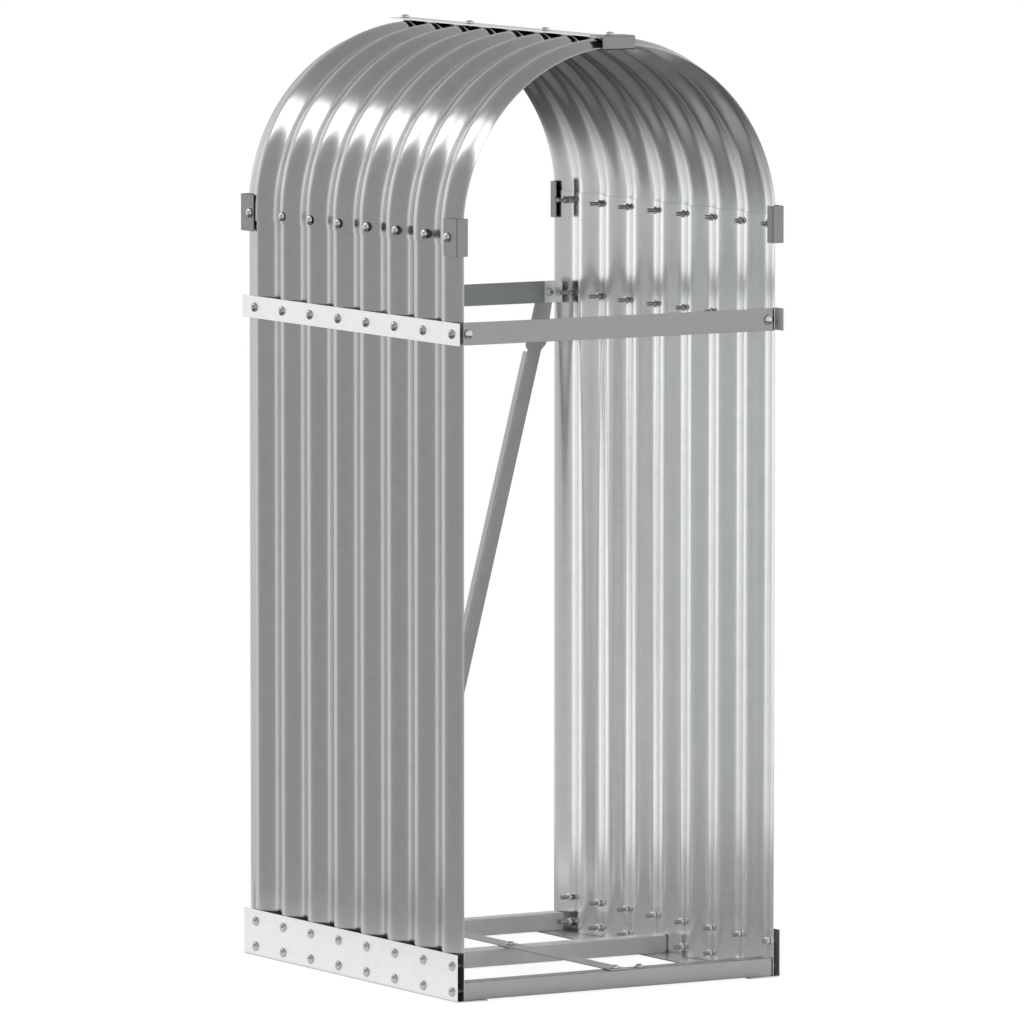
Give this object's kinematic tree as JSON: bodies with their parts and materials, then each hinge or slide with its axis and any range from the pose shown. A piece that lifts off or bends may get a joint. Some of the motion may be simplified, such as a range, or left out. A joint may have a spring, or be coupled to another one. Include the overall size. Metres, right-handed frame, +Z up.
{
  "type": "firewood rack",
  "caption": "Tall firewood rack of galvanised corrugated sheet with an arched roof, an open front and back, and an open frame floor.",
  "frame": {"origin": "middle of the floor under the whole rack, at the height of the base angles' undersides", "axes": "+Z up; the side with the front rails and the ridge clip faces -Y; the left wall as seen from the front is at -X"},
  "size_m": [0.4048, 0.4652, 1.0031],
  "materials": {
    "zinc_sheet": "galvanised, satin",
    "base_plate": "galvanised, satin",
    "bar_zinc": "galvanised, satin",
    "rail_zinc": "galvanised, satin",
    "clip_zinc": "galvanised, satin",
    "brace_zinc": "galvanised, satin",
    "bolt_zinc": "zinc plated, bright"
  },
  "bodies": {
    "root": {"back_brace_left": "brace_zinc", "back_brace_right": "brace_zinc", "base_angle_left": "base_plate", "base_angle_right": "base_plate", "brace_bolt": "bolt_zinc", "clip_bolt_back_left": "bolt_zinc", "clip_bolt_back_right": "bolt_zinc", "clip_bolt_front_left": "bolt_zinc", "clip_bolt_front_right": "bolt_zinc", "corner_bolt_back_left": "bolt_zinc", "corner_bolt_back_right": "bolt_zinc", "corner_bolt_front_left": "bolt_zinc", "corner_bolt_front_right": "bolt_zinc", "corner_bracket_back_left": "rail_zinc", "corner_bracket_back_right": "rail_zinc", "corner_bracket_front_left": "rail_zinc", "corner_bracket_front_right": "rail_zinc", "floor_strip": "bar_zinc", "lower_rail_back": "rail_zinc", "lower_rail_front": "rail_zinc", "lower_rail_middle": "rail_zinc", "rail_bolt": "bolt_zinc", "ridge_bolt_1": "bolt_zinc", "ridge_bolt_2": "bolt_zinc", "ridge_bolt_3": "bolt_zinc", "ridge_bolt_4": "bolt_zinc", "ridge_clip": "clip_zinc", "ridge_strap": "bar_zinc", "roof_sheet_left": "zinc_sheet", "roof_sheet_right": "zinc_sheet", "seam_bolt_left_1": "bolt_zinc", "seam_bolt_left_2": "bolt_zinc", "seam_bolt_left_3": "bolt_zinc", "seam_bolt_left_4": "bolt_zinc", "seam_bolt_left_5": "bolt_zinc", "seam_bolt_left_6": "bolt_zinc", "seam_bolt_right_1": "bolt_zinc", "seam_bolt_right_2": "bolt_zinc", "seam_bolt_right_3": "bolt_zinc", "seam_bolt_right_4": "bolt_zinc", "seam_bolt_right_5": "bolt_zinc", "seam_bolt_right_6": "bolt_zinc", "seam_clip_back_left": "clip_zinc", "seam_clip_back_right": "clip_zinc", "seam_clip_front_left": "clip_zinc", "seam_clip_front_right": "clip_zinc", "side_sheet_left": "zinc_sheet", "side_sheet_right": "zinc_sheet", "side_strap_left": "bar_zinc", "side_strap_right": "bar_zinc", "strip_bolt_back": "bolt_zinc", "strip_bolt_front": "bolt_zinc", "strip_bolt_middle": "bolt_zinc", "upper_rail_back": "rail_zinc", "upper_rail_front": "rail_zinc"}
  },
  "joints": []
}
